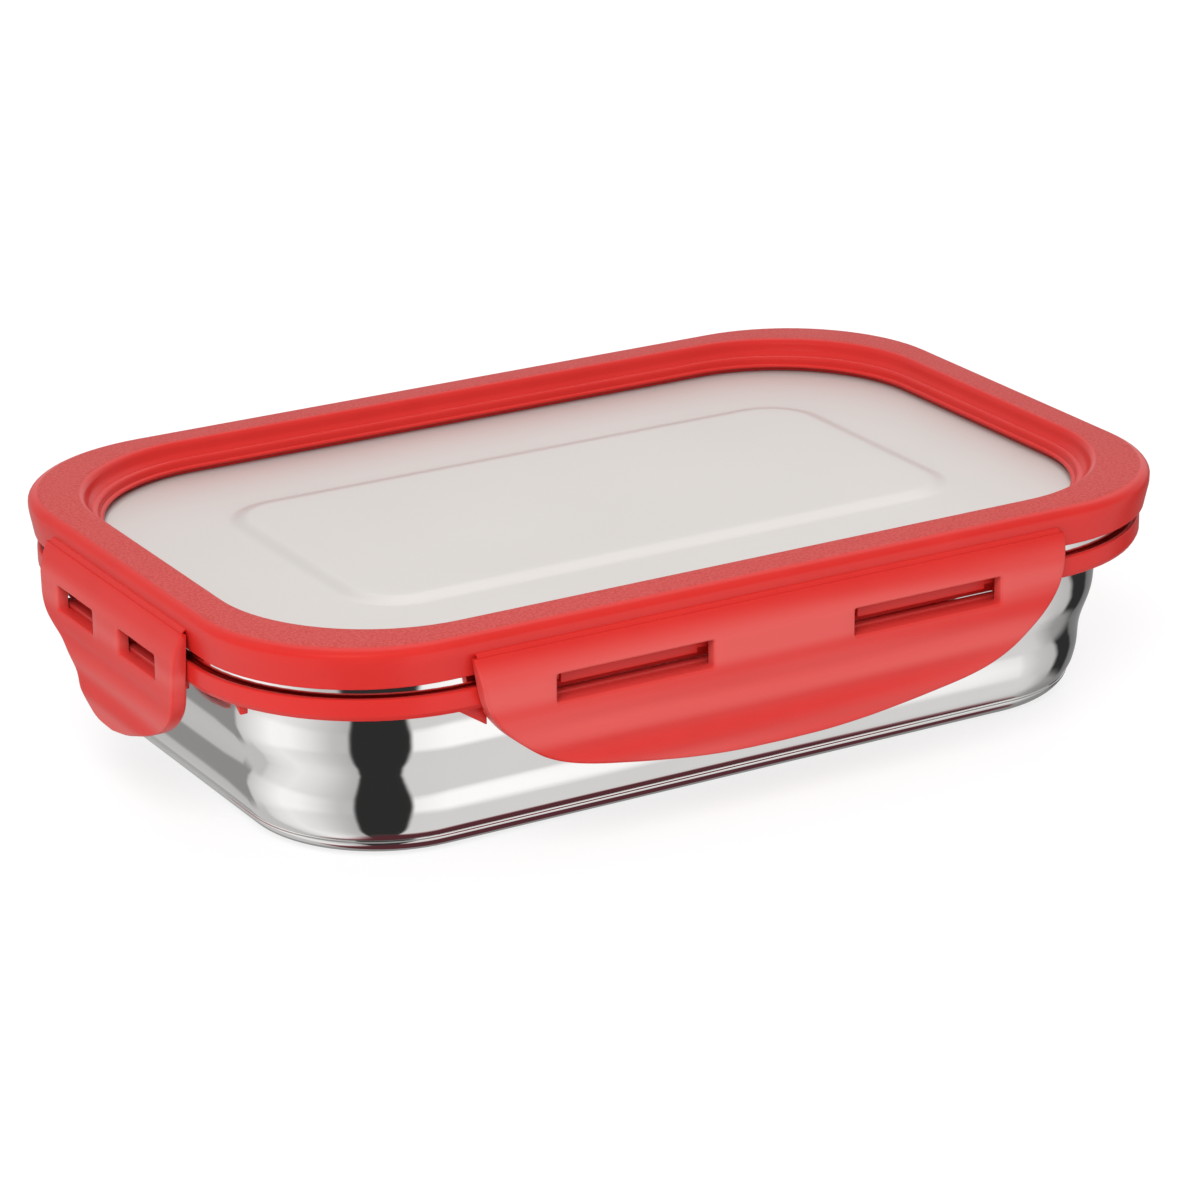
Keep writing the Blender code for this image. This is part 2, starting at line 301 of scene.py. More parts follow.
def smooth_path(points, steps=5):
    """A Catmull-Rom curve through points, ends included."""
    padded = [points[0], *points, points[-1]]
    curve = []
    for before, start, end, after in zip(padded, padded[1:], padded[2:], padded[3:]):
        for step in range(steps):
            t = step / steps
            weights = (
                -0.5 * t + t**2 - 0.5 * t**3,
                1 - 2.5 * t**2 + 1.5 * t**3,
                0.5 * t + 2 * t**2 - 1.5 * t**3,
                -0.5 * t**2 + 0.5 * t**3,
            )
            corners = (before, start, end, after)
            curve.append(
                tuple(
                    sum(w * corner[axis] for w, corner in zip(weights, corners))
                    for axis in (0, 1)
                )
            )
    curve.append(tuple(points[-1]))
    return curve


def rounded_profile(corners, steps=4):
    """A closed profile from (inset, z, radius) corners, each rounded by its radius."""
    points = []
    count = len(corners)
    for i in range(count):
        here = Vector(corners[i][:2])
        radius = corners[i][2]
        if radius <= 0:
            points.append(tuple(here))
            continue
        back = Vector(corners[i - 1][:2]) - here
        ahead = Vector(corners[(i + 1) % count][:2]) - here
        turn = back.angle(ahead)
        cut = radius / math.tan(turn / 2)
        cut = min(cut, 0.49 * back.length, 0.49 * ahead.length)
        start = here + back.normalized() * cut
        end = here + ahead.normalized() * cut
        for step in range(steps + 1):
            t = step / steps
            point = start * (1 - t) ** 2 + here * 2 * t * (1 - t) + end * t**2
            points.append(tuple(point))
    return points


def rounded_rectangle(half_x, half_y, radius):
    """Points of a rectangle with round corners, anticlockwise from the +x side."""
    spans = (SHORT_STEPS, LONG_STEPS, SHORT_STEPS, LONG_STEPS)
    corners = ((1, 1), (-1, 1), (-1, -1), (1, -1))
    points = []
    for quarter, (sign_x, sign_y) in enumerate(corners):
        centre = (sign_x * (half_x - radius), sign_y * (half_y - radius))
        turn = arc(centre, radius, 90 * quarter, 90 * quarter + 90, CORNER_STEPS)
        if points:
            points += between(points[-1], turn[0], spans[quarter])
        points += turn
    points += between(points[-1], points[0], spans[0])
    return points


def between(first, second, steps):
    """Points that divide a straight line, its ends left out."""
    return [
        tuple(Vector(first).lerp(Vector(second), step / steps)) for step in range(1, steps)
    ]


def outline_at(inset):
    """The lid's outline moved inwards by inset, as half_x, half_y and corner radius."""
    return HALF_LENGTH - inset, HALF_WIDTH - inset, CORNER_RADIUS - inset


def lid_outline_at(inset):
    """The same for the lid ring and plate, whose corners stay nearly one radius."""
    half_x, half_y, _ = outline_at(inset)
    return half_x, half_y, LID_RADIUS - LID_RADIUS_LOSS * inset


def finish_mesh(name, shape, material, sharp=38.0):
    """Turns a bmesh in millimetres into an object in metres, shaded smooth."""
    bmesh.ops.recalc_face_normals(shape, faces=shape.faces)
    closed = all(edge.is_manifold for edge in shape.edges)
    if closed and shape.calc_volume(signed=True) < 0:
        bmesh.ops.reverse_faces(shape, faces=shape.faces)
    bmesh.ops.scale(shape, vec=(MM, MM, MM), verts=shape.verts)
    mesh = bpy.data.meshes.new(name)
    shape.to_mesh(mesh)
    shape.free()
    mesh.shade_smooth()
    mesh.set_sharp_from_angle(angle=math.radians(sharp))
    obj = bpy.data.objects.new(name, mesh)
    bpy.context.scene.collection.objects.link(obj)
    mesh.materials.append(material)
    return obj


def fit(piece, body, slot, *nodes):
    """Makes a piece move with a body and stand for CAD nodes; its slot argument is not used."""
    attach(piece, body)
    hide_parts(*nodes)


def skin(loops, closed=False, caps=False):
    """A bmesh of quads between loops of points; caps closes the first and last loop."""
    shape = bmesh.new()
    rows = [[shape.verts.new(point) for point in loop] for loop in loops]
    pairs = list(zip(rows, rows[1:]))
    if closed:
        pairs.append((rows[-1], rows[0]))
    for lower, upper in pairs:
        for i in range(len(lower)):
            shape.faces.new((lower[i - 1], lower[i], upper[i], upper[i - 1]))
    if caps:
        shape.faces.new(rows[0])
        shape.faces.new(rows[-1])
    return shape


def ring(profile, outline=outline_at):
    """Loops for a ring with a closed profile of (inset, z) points."""
    return [
        [(x, y, z) for x, y in rounded_rectangle(*outline(inset))] for inset, z in profile
    ]


# ---------------------------------------------------------------- tub and collar


def make_tub():
    """The pressed tub with its rolled rim, waisted wall and small foot step."""
    top = TUB_HIGH.z
    floor_inset = 16.3
    foot_radius = 4.4
    plain_from = 20  # the inside leaves out the wall's points up to here, the foot step
    foot = arc((floor_inset, foot_radius), foot_radius, 270, 203, 12)
    wall = smooth_path(
        [
            foot[-1],
            (12.2, 2.95),
            (12.33, 3.12),
            (12.3, 3.3),
            (11.95, 3.8),
            (11.35, 5.2),
            (10.9, 7.2),
            (10.68, 9.0),
            (10.58, 10.9),
            (10.42, 12.5),
            (10.1, 14.1),
            (9.66, 15.7),
            (9.18, 17.2),
            (8.72, 18.8),
            (8.42, 20.6),
            (8.26, 22.8),
            (8.05, 25.4),
            (7.55, 28.2),
            (NECK_INSET + 0.1, 30.6),
            (NECK_INSET, 33.5),
        ],
        4,
    )
    neck = arc((NECK_INSET - 0.8, top - SHEET - 0.8), 0.8, 0, 90, 5)
    rim_outer = [(3.75, top), (3.25, top - 0.22), (2.9, top - 0.75)]
    rim_outer += arc((2.75, top - 1.75), 0.75, 110, 180, 6)
    rim_outer += arc((2.75, top - 3.25), 0.75, 180, 285, 8)
    rim_inner = [(4.4, top - SHEET), (3.75, top - SHEET), (3.5, top - SHEET - 0.1)]
    rim_inner += [(3.4, top - 1.2), (3.2, top - 1.5)]
    rim_inner += arc((2.75, top - 1.75), 0.3, 110, 180, 3)
    rim_inner += arc((2.75, top - 3.25), 0.3, 180, 285, 4)
    inner_top = arc((NECK_INSET + SHEET - 1.4, top - 1.4), 1.4, 90, 0, 6)
    outside = foot + wall[1:] + neck + rim_inner
    inside = [(inset + SHEET, z) for inset, z in reversed(wall[plain_from:])]
    inside += arc((floor_inset, foot_radius), foot_radius - SHEET, 190, 270, 12)
    profile = outside + list(reversed(rim_outer)) + inner_top + inside
    loops = []
    for inset, z in profile:
        half_x, half_y, radius = outline_at(inset)
        radius += TUB_CORNER_WIDENING * max(inset - NECK_INSET, 0)
        loops.append([(x, y, z) for x, y in rounded_rectangle(half_x, half_y, radius)])
    tub = finish_mesh("tub_shell", skin(loops, caps=True), POLISHED)
    fit(tub, "box", "polished_steel", "container")


BLOCK_EDGE = 0.25


def block(shape, low, high, matrix, taper=0.0):
    """Adds a box with small rounded edges.

    A taper raises the bottom of its -x end, or of its +x end if it is below zero.
    """
    made = bmesh.ops.create_cube(shape, size=1.0)["verts"]
    size = Vector(high) - Vector(low)
    middle = (Vector(high) + Vector(low)) / 2
    for vert in made:
        corner = [vert.co[axis] * size[axis] + middle[axis] for axis in range(3)]
        if taper and vert.co.z < 0:
            share = 0.5 + vert.co.x if taper > 0 else 0.5 - vert.co.x
            corner[2] += abs(taper) * (1 - share)
        vert.co = corner
    edges = {edge for vert in made for edge in vert.link_edges}
    bevelled = bmesh.ops.bevel(
        shape,
        geom=list(edges),
        offset=min(BLOCK_EDGE, 0.3 * min(size)),
        segments=2,
        profile=0.5,
        affect="EDGES",
    )
    verts = {vert for face in bevelled["faces"] for vert in face.verts}
    verts |= {vert for vert in made if vert.is_valid}
    bmesh.ops.transform(shape, matrix=matrix, verts=list(verts))


def side_matrix(side):
    """Turns a shape made for the front to the given side."""
    return Matrix.Rotation(math.radians(SIDES[side]), 4, "Z")


# Places along a side are from its middle. A lug has its place along the side, the insets
# of its outer and inner face, its length and how far it hangs below the collar.
LATCH_SHAPES = {
    "long": {
        "slot_centre": 29.6,
        "slot_length": 30.6,
        "slot_low": 29.2,
        "slot_high": 34.1,
        "rib_length": 26.8,
        "rib_low": 31.5,
        "lug": (59.0, 2.4, 4.2, 6.6, 4.0),
    },
    "short": {
        "slot_centre": 12.6,
        "slot_length": 14.6,
        "slot_low": 28.9,
        "slot_high": 33.4,
        "rib_length": 9.8,
        "rib_low": 31.2,
        "lug": (38.6, 3.6, 5.2, 3.0, 1.7),
    },
}


def size_of(side):
    """Which of the two latch sizes a side has."""
    return "long" if side in ("front", "back") else "short"


def side_reach(side):
    """How far that side of the lid's outline is from the middle."""
    return HALF_WIDTH if size_of(side) == "long" else HALF_LENGTH


def make_collar():
    """The moulded collar under the rim, its ribs and lugs."""
    bottom = COLLAR_BOTTOM - COLLAR_DROP
    recess_depth = 2.5
    profile = rounded_profile(
        [
            (1.0, bottom, 0.5),
            (0.45, bottom + 1.0, 0.6),
            (0.45, COLLAR_TOP, 0.35),
            (1.35, COLLAR_TOP, 0.2),
            (1.45, COLLAR_TOP - 0.95, 0.1),
            (5.95, COLLAR_TOP - 0.95, 0.2),
            (5.95, COLLAR_TOP + 1.4, 0.2),
            (6.6, COLLAR_TOP + 1.4, 0.2),
            (6.6, COLLAR_TOP - 2.2, 0.2),
            (2.9, COLLAR_TOP - 2.4, 0.2),
            (2.9, bottom, 0.3),
        ]
    )
    collar = finish_mesh("collar_ring", skin(ring(profile), closed=True), RED)
    for side in SIDES:
        sizes = LATCH_SHAPES[size_of(side)]
        half = side_reach(side)
        along, inset, inner_inset, length, drop = sizes["lug"]
        slope = -(drop + 0.3) if size_of(side) == "long" else drop + 0.3
        recesses = bmesh.new()
        for sign in (-1, 1):
            middle = sign * sizes["slot_centre"]
            reach = sizes["slot_length"] / 2 + 1.5
            block(
                recesses,
                (middle - reach, -(half + 1.0), bottom - 1.0),
                (middle + reach, -(half - recess_depth), COLLAR_TOP - 1.6),
                side_matrix(side),
            )
        combine(collar, recesses, f"recesses_{side}", "DIFFERENCE")
        ribs = bmesh.new()
        for sign in (-1, 1):
            middle = sign * sizes["slot_centre"]
            reach = sizes["rib_length"] / 2
            block(
                ribs,
                (middle - reach, -(half + 0.1), sizes["rib_low"]),
                (middle + reach, -(half - 3.1), COLLAR_TOP - 0.25),
                side_matrix(side),
            )
            block(
                ribs,
                (sign * along - length / 2, -(half - inset), bottom - drop),
                (sign * along + length / 2, -(half - inner_inset), bottom + 0.8),
                side_matrix(side),
                sign * slope,
            )
        union(collar, ribs, f"ribs_{side}")
    fit(collar, "box", "red_plastic", "rim_collar")


def combine(obj, shape, name, operation):
    """Joins or cuts an object with the closed bodies of a bmesh."""
    helper = finish_mesh(name, shape, RED)
    for mesh in (obj.data, helper.data):
        mesh.transform(Matrix.Scale(1 / MM, 4))
    modifier = obj.modifiers.new(name, "BOOLEAN")
    modifier.operation = operation
    modifier.solver = "EXACT"
    modifier.object = helper
    apply_modifiers(obj)
    close_holes(obj.data)
    obj.data.transform(Matrix.Scale(MM, 4))
    bpy.data.objects.remove(helper)


def close_holes(mesh):
    """Puts back the sliver faces that a Boolean drops."""
    shape = bmesh.new()
    shape.from_mesh(mesh)
    open_edges = [edge for edge in shape.edges if edge.is_boundary]
    bmesh.ops.holes_fill(shape, edges=open_edges, sides=0)
    shape.to_mesh(mesh)
    shape.free()


def union(obj, shape, name):
    """Joins the closed bodies of a bmesh to an object and shades it again."""
    combine(obj, shape, name, "UNION")
    obj.data.shade_smooth()
    obj.data.set_sharp_from_angle(angle=math.radians(38))


def apply_modifiers(obj):
    """Replaces an object's mesh with its evaluated one and clears its modifiers."""
    graph = bpy.context.evaluated_depsgraph_get()
    mesh = bpy.data.meshes.new_from_object(obj.evaluated_get(graph))
    obj.modifiers.clear()
    obj.data = mesh


# ---------------------------------------------------------------- lid


def make_lid_frame():
    """The moulded frame round the plate."""
    top = LID_TOP
    pocket = HALF_LENGTH - PLATE_HIGH.x - 0.3
    ledge = PLATE_LOW.z + 0.75
    profile = [(1.15, SKIRT_BOTTOM), (1.0, SKIRT_BOTTOM + 0.15)]
    profile += [(0.62, top - 4.6), (0.42, top - 3.4), (0.32, top - 2.6)]
    profile += arc((1.9, top - 1.75), 1.6, 178, 104, 9)
    profile += [(1.8, top - 0.05), (2.1, top)]
    profile += [(3.2 + 1.4 * step, top + 0.08 * (step + 1)) for step in range(0, 3)]
    profile += arc((7.15, top - 1.15), 1.45, 92, 14, 9)
    profile += [(8.7, top - 1.6), (8.95, top - 2.05), (9.35, top - 2.4)]
    profile += arc((9.6, top - 3.35), 0.85, 100, 10, 6)
    profile += [(10.5, top - 3.85)]
    profile += arc((10.7, top - 4.3), 0.35, 70, -90, 6)
    profile += [(10.2, top - 4.65), (10.2, ledge), (pocket, ledge), (pocket, FRAME_LOW.z)]
    profile += [(7.9, FRAME_LOW.z), (7.9, top - 3.7)]
    profile += [(1.8, top - 3.7), (1.8, SKIRT_BOTTOM)]
    loops = ring(profile, lid_outline_at)
    ring_frame = finish_mesh("lid_ring", skin(loops, closed=True), RED, 33.0)
    fit(ring_frame, "lid", "red_plastic", "lid_frame")


def make_plate():
    """The pressed plate: a dished field and a raised rectangle with soft edges."""
    edge_inset = HALF_LENGTH - PLATE_HIGH.x
    base = PLATE_HIGH.z - 0.9
    loops = []

    def section(half_x, half_y, radius, z):
        loops.append([(x, y, z) for x, y in rounded_rectangle(half_x, half_y, radius)])

    outer = lid_outline_at(edge_inset)
    rise, spread, overhang = 0.75, 4.2, 1.2
    inner = tuple(size + spread - overhang for size in PANEL)
    for step in range(11):
        t = step / 10
        half_x = outer[0] * (1 - t) + inner[0] * t
        half_y = outer[1] * (1 - t) + inner[1] * t
        radius = outer[2] * (1 - t) + inner[2] * t
        section(half_x, half_y, radius, base + 0.25 * max(0.0, 1 - 3.3 * t) ** 2)
    for step in range(1, 11):
        t = step / 10
        grow = spread * (1 - t) - overhang
        section(*(size + grow for size in PANEL), base + rise * (3 * t**2 - 2 * t**3))
    for shrink in (3.0, 8.0, 14.0, 20.0, 26.0):
        radius = max(PANEL[2] - shrink * 0.3, 1.5)
        section(PANEL[0] - shrink, PANEL[1] - shrink, radius, base + rise)
    shape = skin(loops)
    shape.faces.new(last_loop(shape, loops))
    plate = finish_mesh("lid_sheet", shape, SATIN)
    thicken(plate, PLATE_SHEET)
    fit(plate, "lid", "satin_steel", "lid_plate")


def last_loop(shape, loops):
    """The vertices of the last loop that skin() made."""
    shape.verts.ensure_lookup_table()
    count = len(loops[0])
    return [shape.verts[i] for i in range((len(loops) - 1) * count, len(loops) * count)]


def thicken(obj, thickness):
    """Gives an open sheet a thickness below its upward side."""
    up = sum(face.normal.z * face.area for face in obj.data.polygons)
    solidify = obj.modifiers.new("sheet", "SOLIDIFY")
    solidify.thickness = thickness * MM
    solidify.offset = -1.0 if up > 0 else 1.0
    solidify.use_even_offset = True
    apply_modifiers(obj)


def make_retainer():
    """The ring that holds the plate from below."""
    top = RETAINER_HIGH.z
    low = RETAINER_LOW.z
    inner = HALF_LENGTH - RETAINER_HIGH.x
    profile = rounded_profile(
        [
            (inner, low, 0.2),
            (inner, top, 0.2),
            (12.8, top, 0.3),
            (13.2, top - 0.5, 0.2),
            (12.8, low, 0.3),
        ],
        3,
    )
    retainer = finish_mesh("plate_ring", skin(ring(profile), closed=True), RED)
    fit(retainer, "lid", "red_plastic", "plate_retainer")


def make_seal():
    """The silicone seal with a soft groove over the rim."""
    low = SEAL_LOW.z
    high = SEAL_HIGH.z
    profile = rounded_profile(
        [
            (2.5, low, 0.3),
            (2.5, high, 0.3),
            (7.6, high, 0.3),
            (7.6, low, 0.3),
            (6.2, low, 0.25),
            (5.7, low + 0.6, 0.3),
            (4.4, low + 0.6, 0.3),
            (3.9, low, 0.25),
        ],
        3,
    )
    seal = finish_mesh("seal_ring", skin(ring(profile), closed=True), SILICONE)
    fit(seal, "lid", "silicone", "lid_seal")


# ---------------------------------------------------------------- latches


# Where a latch's faces are, in millimetres outside the lid's outline.
OUTER = 2.5
INNER = 0.4
RIM_HIGH = -0.1  # inner edge of the rim round the flap, above RIM_STEP
RIM_LOW = {"long": -1.5, "short": -0.5}  # and below it
LIP_TIP = -2.0
HOOK_TIP = -2.7

RIM_STEP = COLLAR_BOTTOM - 0.95
RIM_WIDTH = 1.6
POCKET_TOP = COLLAR_TOP + 0.8
HOOK_TOP = COLLAR_BOTTOM - 0.72
LIP_OVERHANG = 0.6  # past each end of a slot
HOOK_OVERHANG = 3.0  # past the outer ends of the slots
EDGE = 0.55  # rounding of the flap's edges

# The outer skin leans back above LEAN_FROM, curls in at the bottom and has ripples below
# WAVE_TOP.
LEAN_FROM = 33.5
LEAN = 1.75
CURL_HEIGHT = 5.0
CURL = 0.3
WAVE_TOP = 28.6
WAVE_PITCH = 5.2
WAVE_DEPTH = 0.14

# Half a latch's edge as (distance from its middle, height), from the bottom upwards. The
# short latch's left half, seen from outside, has an edge of its own, short_far.
LATCH_OUTLINES = {
    "long": (
        (0.0, 12.65),
        (9.0, 12.8),
        (17.5, 13.4),
        (25.5, 14.4),
        (33.0, 15.65),
        (39.0, 16.85),
        (43.5, 18.1),
        (47.3, 19.8),
        (51.0, 22.4),
        (54.4, 25.3),
        (57.0, 28.6),
        (58.4, 32.0),
    ),
    "short": (
        (0.0, 12.75),
        (5.8, 13.8),
        (10.2, 15.2),
        (14.2, 16.6),
        (17.6, 18.0),
        (20.3, 19.4),
        (23.0, 21.3),
        (25.2, 23.7),
        (26.3, 26.2),
        (26.7, 29.6),
        (27.2, 33.0),
    ),
    "short_far": (
        (0.0, 12.75),
        (5.6, 12.95),
        (9.0, 14.1),
        (11.3, 16.1),
        (13.7, 19.2),
        (16.1, 21.6),
        (18.9, 23.4),
        (22.3, 25.1),
        (25.4, 27.1),
        (26.9, 29.6),
        (27.2, 33.0),
    ),
}


def full_outline(size, half, top):
    """The latch's closed outline seen from outside, anticlockwise from the bottom."""
    right = smooth_path(list(LATCH_OUTLINES[size]) + [(half, top)], 4)
    far = LATCH_OUTLINES.get(f"{size}_far", LATCH_OUTLINES[size])
    left = smooth_path(list(far) + [(half, top)], 4)
    return right + [(-x, z) for x, z in reversed(left)][:-1]


def cropped(points, top):
    """A latch outline cut off level at a height."""
    count = len(points) // 2 + 1
    right = [point for point in points[:count] if point[1] < top]
    left = [point for point in points[count:] if point[1] < top]
    return right + [(right[-1][0], top), (left[0][0], top)] + left


def inset_outline(points, distance):
    """An outline moved inwards by distance, with mitred corners."""
    moved = []
    count = len(points)
    for i in range(count):
        here = Vector(points[i])
        back = (here - Vector(points[i - 1])).normalized()
        ahead = (Vector(points[(i + 1) % count]) - here).normalized()
        bisector = back + ahead
        if bisector.length < 1e-6:
            bisector = back
        bisector.normalize()
        inward = Vector((-bisector.y, bisector.x))
        spread = max(inward.dot(Vector((-back.y, back.x))), 0.35)
        moved.append(tuple(here + inward * (distance / spread)))
    return moved


def rounded_slot(low_x, high_x, low_z, high_z, radius):
    """A slot's outline with small round corners."""
    points = []
    for quarter, (sx, sz) in enumerate(((1, 1), (-1, 1), (-1, -1), (1, -1))):
        x = high_x - radius if sx > 0 else low_x + radius
        z = high_z - radius if sz > 0 else low_z + radius
        points += arc((x, z), radius, 90 * quarter, 90 * quarter + 90, 3)
    return points


def flat_body(outlines, depth, edge):
    """A bmesh of outlines with holes, extruded along y about 0, with rounded edges."""
    curve = bpy.data.curves.new("outline", "CURVE")
    curve.dimensions = "2D"
    curve.fill_mode = "BOTH"
    curve.extrude = depth / 2 - edge
    curve.bevel_depth = edge
    curve.bevel_resolution = 2
    for outline in outlines:
        spline = curve.splines.new("POLY")
        spline.points.add(len(outline) - 1)
        for point, (x, z) in zip(spline.points, outline):
            point.co = (x, z, 0, 1)
        spline.use_cyclic_u = True
    holder = bpy.data.objects.new("outline", curve)
    bpy.context.scene.collection.objects.link(holder)
    graph = bpy.context.evaluated_depsgraph_get()
    mesh = bpy.data.meshes.new_from_object(holder.evaluated_get(graph))
    bpy.data.objects.remove(holder)
    shape = bmesh.new()
    shape.from_mesh(mesh)
    bpy.data.meshes.remove(mesh)
    bmesh.ops.remove_doubles(shape, verts=shape.verts, dist=0.001)
    bmesh.ops.dissolve_limit(
        shape, angle_limit=math.radians(0.5), verts=shape.verts, edges=shape.edges
    )
    upright = Matrix.Rotation(math.radians(90), 4, "X")
    bmesh.ops.transform(shape, matrix=upright, verts=shape.verts)
    return shape


def slice_up(shape, normal, values):
    """Cuts a bmesh along parallel planes, which gives it points to bend at."""
    for value in values:
        bmesh.ops.bisect_plane(
            shape,
            geom=shape.verts[:] + shape.edges[:] + shape.faces[:],
            plane_co=Vector(normal) * value,
            plane_no=normal,
            dist=0.0005,
        )


def steps_between(low, high, pitch):
    """Even values between two ends, about pitch apart."""
    count = max(int((high - low) / pitch), 1)
    return [low + (high - low) * i / count for i in range(1, count)]


def fade(value, low, high):
    """A smooth step from 0 at low to 1 at high."""
    t = min(max((value - low) / (high - low), 0.0), 1.0)
    return t * t * (3 - 2 * t)


def pull_back(x, z, half, top, bottom):
    """How far the latch's outer skin lies behind its outermost plane."""
    pull = 0.0
    if z > LEAN_FROM:
        pull = LEAN * ((z - LEAN_FROM) / (top - LEAN_FROM)) ** 1.7
    if z < bottom + CURL_HEIGHT:
        pull += CURL * ((bottom + CURL_HEIGHT - z) / CURL_HEIGHT) ** 1.5
    if z < WAVE_TOP:
        calm = 1.0 - fade(abs(x), 0.6 * half, 0.95 * half)
        swing = math.sin(math.tau * (WAVE_TOP - z) / WAVE_PITCH)
        pull += WAVE_DEPTH * (1 - swing) * fade(WAVE_TOP - z, 0.0, 1.5) * calm
    return pull


def make_latch_mesh(size):
    """A latch as it would be on the front: a flap with two slots, a lip behind each slot
    and a hook bar. Returns its mesh, half width, top and the reach of its side."""
    sizes = LATCH_SHAPES[size]
    low, high = box_mm("latch_front" if size == "long" else "latch_left")
    half = (high.x - low.x) / 2 if size == "long" else (high.y - low.y) / 2
    bottom, top = LATCH_OUTLINES[size][0][1], high.z
    reach = HALF_WIDTH if size == "long" else HALF_LENGTH
    outline = full_outline(size, half, top)
    outlines = [inset_outline(outline, EDGE)]
    slots = []
    for sign in (-1, 1):
        middle = sign * sizes["slot_centre"]
        ends = middle - sizes["slot_length"] / 2, middle + sizes["slot_length"] / 2
        slots.append((*ends, sizes["slot_low"]))
        outlines.append(
            rounded_slot(
                ends[0] - EDGE,
                ends[1] + EDGE,
                sizes["slot_low"] - EDGE,
                sizes["slot_high"] + EDGE,
                EDGE + 0.3,
            )
        )
    rim_low = RIM_LOW[size]
    centre = -(reach + (OUTER + rim_low) / 2)
    shape = flat_body(outlines, OUTER - rim_low, EDGE)
    bmesh.ops.translate(shape, vec=(0, centre, 0), verts=shape.verts)
    latch = finish_mesh(f"latch_{size}", shape, RED)

    hollow = cropped(inset_outline(outline, RIM_WIDTH), POCKET_TOP)
    pocket_depth = 4.0
    pocket = flat_body([hollow], pocket_depth, 0.3)
    centre = pocket_depth / 2 - (reach + INNER)
    bmesh.ops.translate(pocket, vec=(0, centre, 0), verts=pocket.verts)
    combine(latch, pocket, "pocket", "DIFFERENCE")
    upper = bmesh.new()
    block(
        upper,
        (-half - 2, -(reach + RIM_HIGH), RIM_STEP),
        (half + 2, -(reach - 4), top + 3),
        Matrix.Identity(4),
    )
    combine(latch, upper, "upper", "DIFFERENCE")
    for low_x, high_x, low_z in slots:
        lip = bmesh.new()
        block(
            lip,
            (low_x - LIP_OVERHANG, -(reach + INNER + 0.8), low_z - 1.8),
            (high_x + LIP_OVERHANG, -(reach + LIP_TIP), low_z - 0.08),
            Matrix.Identity(4),
        )
        combine(latch, lip, "lip", "UNION")
    hook = bmesh.new()
    hook_end = slots[1][1] + HOOK_OVERHANG
    block(
        hook,
        (-hook_end, -(reach + rim_low + 0.6), sizes["slot_low"] - 1.6),
        (hook_end, -(reach + HOOK_TIP), HOOK_TOP),
        Matrix.Identity(4),
    )
    combine(latch, hook, "hook", "UNION")

    shape = bmesh.new()
    shape.from_mesh(latch.data)
    bpy.data.objects.remove(latch)
    bmesh.ops.scale(shape, vec=(1 / MM, 1 / MM, 1 / MM), verts=shape.verts)
    slice_up(shape, (0, 0, 1), steps_between(bottom, top, 0.65))
    slice_up(shape, (1, 0, 0), steps_between(-half, half, 2.5))
    for vert in shape.verts:
        depth = vert.co.y + reach + OUTER
        share = min(max(depth / (OUTER - INNER), 0.0), 1.0)
        pull = pull_back(vert.co.x, vert.co.z, half, top, bottom)
        vert.co.y += pull * (1 - share)
    latch = finish_mesh(f"latch_{size}", shape, RED_LATCH)
    mesh = latch.data
    bpy.data.objects.remove(latch)
    return mesh, half, top, reach


def make_latches():
    """The four latches with their hinge films."""
    meshes = {size: make_latch_mesh(size) for size in LATCH_SHAPES}
    for side in SIDES:
        mesh, half, top, reach = meshes[size_of(side)]
        panel = bpy.data.objects.new(f"snap_flap_{side}", mesh.copy())
        bpy.context.scene.collection.objects.link(panel)
        panel.data.transform(side_matrix(side))
        panel.data.shade_smooth()
        panel.data.set_sharp_from_angle(angle=math.radians(40))
        fit(panel, f"{side}_latch", "red_plastic", f"latch_{side}", f"snap_lip_{side}")
        make_hinge_film(side, half - 0.8, top, reach)


def make_hinge_film(side, half, top, reach):
    """The thin web that bends between the lid and a latch."""
    body = f"{side}_latch"
    hinge_z = JOINTS[body]["pos_m"][2] / MM
    start = Vector((0, -(reach - 0.7), hinge_z + 0.25))
    bend = Vector((0, -(reach + 0.1), hinge_z + 0.1))
    end = Vector((0, -(reach + 0.45), top - 0.3))
    rows = []
    for step in range(11):
        t = step / 10
        rows.append(start * (1 - t) ** 2 + bend * 2 * t * (1 - t) + end * t**2)
    rise = Vector((0, 0, 0.16))  # half the web's thickness
    loop = [row + rise for row in rows] + [row - rise for row in reversed(rows)]
    film = bmesh.new()
    previous = None
    count = 40
    for step in range(count + 1):
        shift = Vector((-half + 2 * half * step / count, 0, 0))
        here = [film.verts.new(point + shift) for point in loop]
        if previous is None:
            film.faces.new(here)
        else:
            for i in range(len(here)):
                film.faces.new((previous[i - 1], previous[i], here[i], here[i - 1]))
        previous = here
    film.faces.new(previous)
    matrix = side_matrix(side)
    bmesh.ops.transform(film, matrix=matrix, verts=film.verts)
    web = finish_mesh(f"hinge_film_{side}", film, RED, 50.0)
    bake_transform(web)
    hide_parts(f"hinge_web_{side}")


# ---------------------------------------------------------------- stage


AMBIENT = 0.62  # brightness of the room for matt surfaces
NADIR = 0.10  # and of the dark red spot under the box, for mirrors
MAROON = (1.0, 0.30, 0.36, 1)

